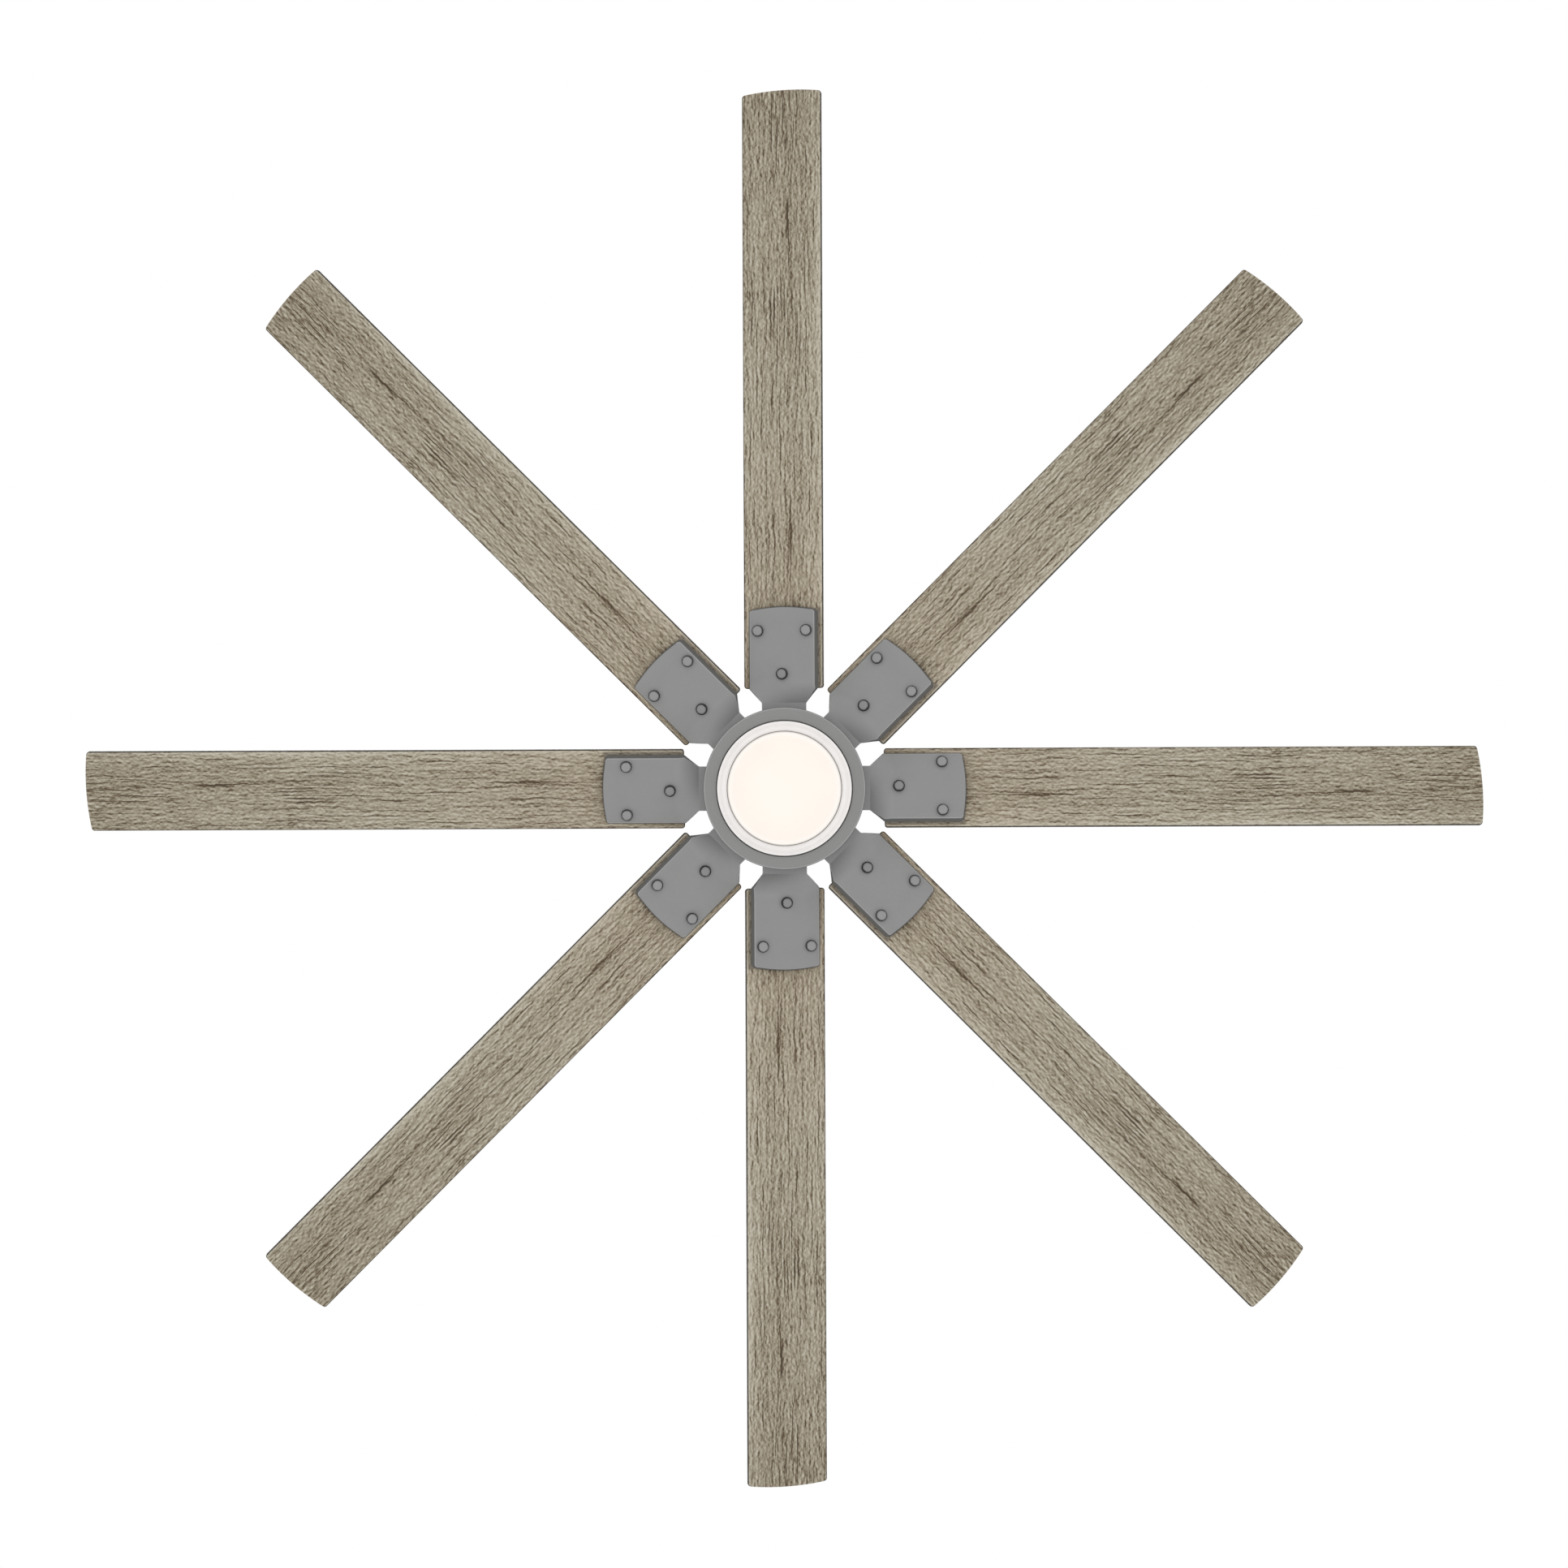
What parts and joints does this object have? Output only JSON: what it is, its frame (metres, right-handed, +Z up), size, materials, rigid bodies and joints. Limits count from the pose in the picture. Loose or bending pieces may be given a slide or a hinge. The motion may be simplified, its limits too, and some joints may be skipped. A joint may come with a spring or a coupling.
{
  "type": "ceiling fan",
  "caption": "Ceiling fan with long straight wood-print blades on grey cast irons, a drum motor on a short downrod, and a round opal light in a grey pan.",
  "frame": {"origin": "middle of the hanger bracket's upper face, where it meets the ceiling", "axes": "+Z up into the ceiling along the fan's axis, +X along blade 1, so the fan hangs in -Z"},
  "size_m": [1.6764, 1.6764, 0.3128],
  "materials": {
    "zinc_steel": "zinc-plated pressed steel",
    "grey_paint": "fine satin pewter-grey paint",
    "grey_casting": "pewter-grey paint over a casting with a faint orange peel",
    "grey_screw": "dome head painted like the irons",
    "black_plastic": "moulded black nylon",
    "bearing_steel": "ground steel",
    "core_steel": "laminated core with varnished windings",
    "cast_aluminium": "die-cast",
    "wood_print": "weathered greige oak grain, matt, with a dark edge",
    "board_white": "white circuit board",
    "trim_white": "satin white",
    "opal": "opal diffuser, lit warm white"
  },
  "bodies": {
    "ceiling_mount": {"hanger_bracket": "zinc_steel", "canopy": "grey_paint"},
    "swing_seat": {"ball_seat": "black_plastic"},
    "drop_assembly": {"hanger_ball": "black_plastic", "ball_pin": "zinc_steel", "downrod": "grey_paint", "yoke": "zinc_steel", "yoke_pin": "zinc_steel", "yoke_cover": "grey_paint", "motor_housing": "grey_paint", "motor_shaft": "bearing_steel", "upper_bearing": "bearing_steel", "lower_bearing": "bearing_steel", "stator": "core_steel", "light_pan": "grey_paint", "led_board": "board_white", "trim_ring": "trim_white", "lens": "opal"},
    "rotor": {"rotor_can": "cast_aluminium", "rotor_base": "cast_aluminium", "blade_iron_1": "grey_casting", "blade_iron_2": "grey_casting", "blade_iron_3": "grey_casting", "blade_iron_4": "grey_casting", "blade_iron_5": "grey_casting", "blade_iron_6": "grey_casting", "blade_iron_7": "grey_casting", "blade_iron_8": "grey_casting", "blade_1": "wood_print", "blade_2": "wood_print", "blade_3": "wood_print", "blade_4": "wood_print", "blade_5": "wood_print", "blade_6": "wood_print", "blade_7": "wood_print", "blade_8": "wood_print", "blade_1_screw_inner": "grey_screw", "blade_1_screw_left": "grey_screw", "blade_1_screw_right": "grey_screw", "blade_2_screw_inner": "grey_screw", "blade_2_screw_left": "grey_screw", "blade_2_screw_right": "grey_screw", "blade_3_screw_inner": "grey_screw", "blade_3_screw_left": "grey_screw", "blade_3_screw_right": "grey_screw", "blade_4_screw_inner": "grey_screw", "blade_4_screw_left": "grey_screw", "blade_4_screw_right": "grey_screw", "blade_5_screw_inner": "grey_screw", "blade_5_screw_left": "grey_screw", "blade_5_screw_right": "grey_screw", "blade_6_screw_inner": "grey_screw", "blade_6_screw_left": "grey_screw", "blade_6_screw_right": "grey_screw", "blade_7_screw_inner": "grey_screw", "blade_7_screw_left": "grey_screw", "blade_7_screw_right": "grey_screw", "blade_8_screw_inner": "grey_screw", "blade_8_screw_left": "grey_screw", "blade_8_screw_right": "grey_screw"}
  },
  "joints": [
    {"name": "seat_roll", "type": "hinge", "parent": "ceiling_mount", "child": "swing_seat", "pos_m": [0, 0, -0.034], "axis": [1, 0, 0], "range_deg": [-10, 10]},
    {"name": "ball_pitch", "type": "hinge", "parent": "swing_seat", "child": "drop_assembly", "pos_m": [0, 0, -0.034], "axis": [0, 1, 0], "range_deg": [-10, 10]},
    {"name": "fan_spin", "type": "hinge", "parent": "drop_assembly", "child": "rotor", "pos_m": [0, 0, -0.25], "axis": [0, 0, 1], "continuous": true}
  ]
}
